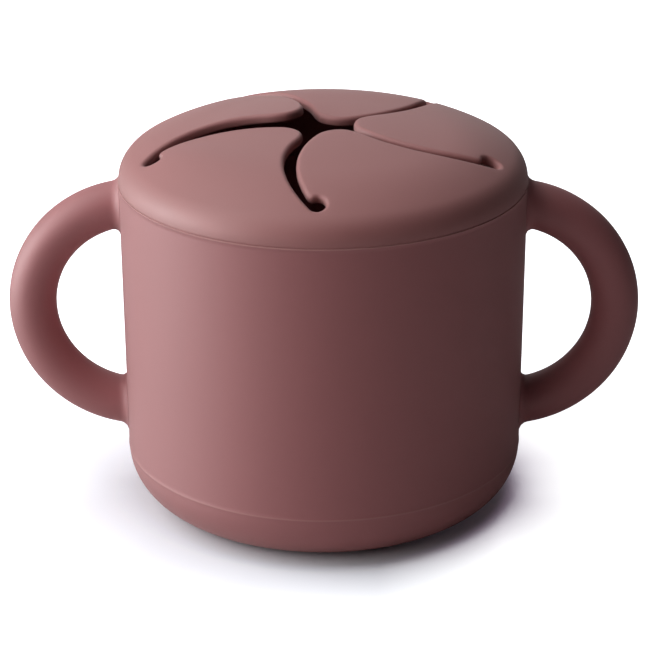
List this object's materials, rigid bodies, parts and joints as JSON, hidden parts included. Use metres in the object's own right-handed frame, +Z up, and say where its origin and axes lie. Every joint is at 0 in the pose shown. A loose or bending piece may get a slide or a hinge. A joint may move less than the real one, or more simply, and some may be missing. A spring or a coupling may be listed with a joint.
{
  "type": "toddler snack cup",
  "caption": "Soft silicone snack cup with two ring handles and a domed lid cut into curved flaps that a small hand pushes in.",
  "frame": {"origin": "on the floor, under the middle of the cup's round base", "axes": "+Z up along the cup's axis, +X through the right handle, +Y to the back, away from the viewer"},
  "size_m": [0.141, 0.09, 0.0884],
  "materials": {
    "cup": "matte moulded silicone, dusty rose",
    "lid": "matte moulded silicone, dusty rose"
  },
  "bodies": {
    "cup": {"cup_body": "cup", "left_handle": "cup", "right_handle": "cup"},
    "lid": {"lid_rim": "lid", "lid_plug": "lid"},
    "front_left_flap": {"flap_front_left": "lid"},
    "front_right_flap": {"flap_front_right": "lid"},
    "right_flap": {"flap_right": "lid"},
    "back_flap": {"flap_back": "lid"},
    "back_left_flap": {"flap_back_left": "lid"}
  },
  "joints": [
    {"name": "lid_lift", "type": "slide", "parent": "cup", "child": "lid", "axis": [0, 0, 1], "range_m": [0, 0.04]},
    {"name": "front_left_bend", "type": "hinge", "parent": "lid", "child": "front_left_flap", "pos_m": [-0.01883, -0.02471, 0.0826], "axis": [-0.7955, 0.606, 0], "range_deg": [-25, 60], "stiffness_Nm_per_rad": 0.008, "springref_deg": -1.38},
    {"name": "front_right_bend", "type": "hinge", "parent": "lid", "child": "front_right_flap", "pos_m": [0.01768, -0.02554, 0.0826], "axis": [-0.8221, -0.5693, 0], "range_deg": [-25, 60], "stiffness_Nm_per_rad": 0.008, "springref_deg": -1.38},
    {"name": "right_bend", "type": "hinge", "parent": "lid", "child": "right_flap", "pos_m": [0.02976, 0.00893, 0.0826], "axis": [0.2874, -0.9578, 0], "range_deg": [-25, 60], "stiffness_Nm_per_rad": 0.008, "springref_deg": -1.38},
    {"name": "back_bend", "type": "hinge", "parent": "lid", "child": "back_flap", "pos_m": [0.00071, 0.03106, 0.0826], "axis": [0.9997, -0.0227, 0], "range_deg": [-25, 60], "stiffness_Nm_per_rad": 0.008, "springref_deg": -1.38},
    {"name": "back_left_bend", "type": "hinge", "parent": "lid", "child": "back_left_flap", "pos_m": [-0.02932, 0.01027, 0.0826], "axis": [0.3305, 0.9438, 0], "range_deg": [-25, 60], "stiffness_Nm_per_rad": 0.008, "springref_deg": -1.38}
  ]
}
